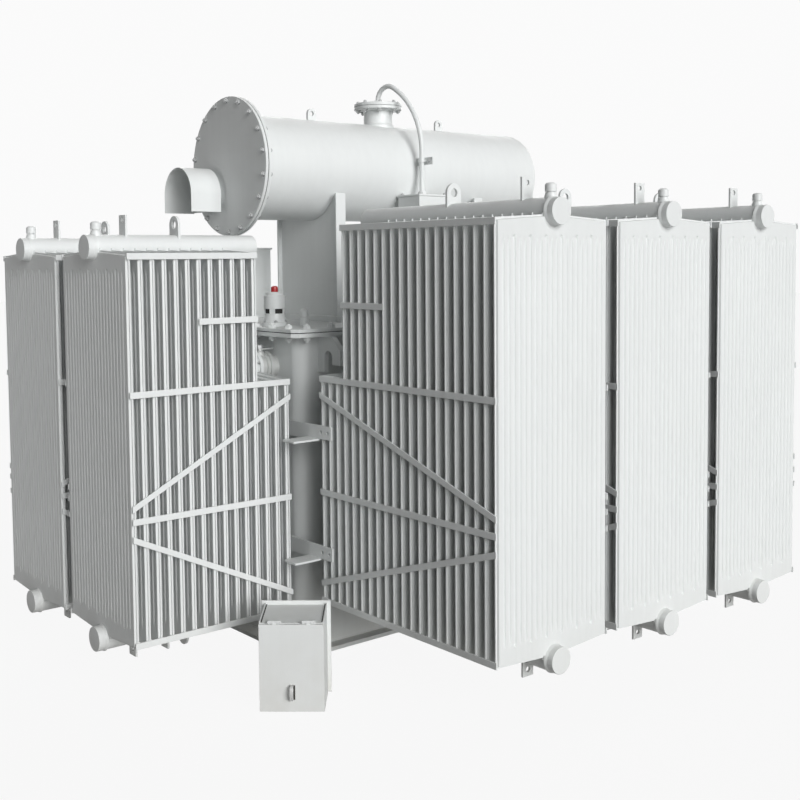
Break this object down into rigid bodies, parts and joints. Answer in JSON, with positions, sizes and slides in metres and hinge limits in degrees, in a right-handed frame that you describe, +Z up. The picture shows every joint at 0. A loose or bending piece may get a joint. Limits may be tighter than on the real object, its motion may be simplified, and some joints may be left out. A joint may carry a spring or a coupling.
{
  "type": "power transformer",
  "caption": "Oil-filled power transformer: steel tank with panel radiators on two adjoining walls, a drum conservator with breather pipe on top and a small terminal box at one corner.",
  "frame": {"origin": "middle of the underside of the tank's base plate, on the floor", "axes": "+X along the conservator towards its welded end, +Y away from the long radiator bank, +Z up"},
  "size_m": [2.559, 2.195, 2.3068],
  "materials": {
    "paint": "satin",
    "valve_paint": "satin",
    "gasket": "matte",
    "red_plastic": "gloss",
    "gauge_black": "satin"
  },
  "bodies": {
    "transformer": {"breather_box": "paint", "breather_pipe": "paint", "cable_box": "paint", "conservator_end_plate": "paint", "conservator_far_end": "paint", "conservator_neck": "paint", "conservator_shell": "paint", "conservator_supports": "paint", "cover_gasket": "gasket", "end_radiator_1_headers": "paint", "end_radiator_1_panels": "paint", "end_radiator_1_straps": "paint", "end_radiator_2_headers": "paint", "end_radiator_2_panels": "paint", "end_radiator_2_straps": "paint", "gas_relay_pipe": "paint", "gauge_hood": "paint", "lifting_eyes": "paint", "lifting_hooks": "paint", "lower_valves": "valve_paint", "neck_cover": "paint", "oil_gauge": "gauge_black", "pipe_clamp": "paint", "pressure_relief_valve": "paint", "radiator_arms": "paint", "relief_indicator": "red_plastic", "side_radiator_1_headers": "paint", "side_radiator_1_panels": "paint", "side_radiator_1_straps": "paint", "side_radiator_2_headers": "paint", "side_radiator_2_panels": "paint", "side_radiator_2_straps": "paint", "side_radiator_3_headers": "paint", "side_radiator_3_panels": "paint", "side_radiator_3_straps": "paint", "tank_base_plate": "paint", "tank_body": "paint", "tank_cover": "paint", "tank_flange": "paint", "tank_stiffeners": "paint", "terminal_box": "paint", "terminal_box_carrier": "paint", "thermometer_pocket": "paint", "upper_valves": "valve_paint"},
    "terminal_box_door": {"terminal_box_door": "paint"}
  },
  "joints": [
    {"name": "terminal_box_door_hinge", "type": "hinge", "parent": "transformer", "child": "terminal_box_door", "pos_m": [-1.17184, -0.91189, 0.31], "axis": [-0.7638, 0.6455, 0], "range_deg": [0, 110]}
  ]
}
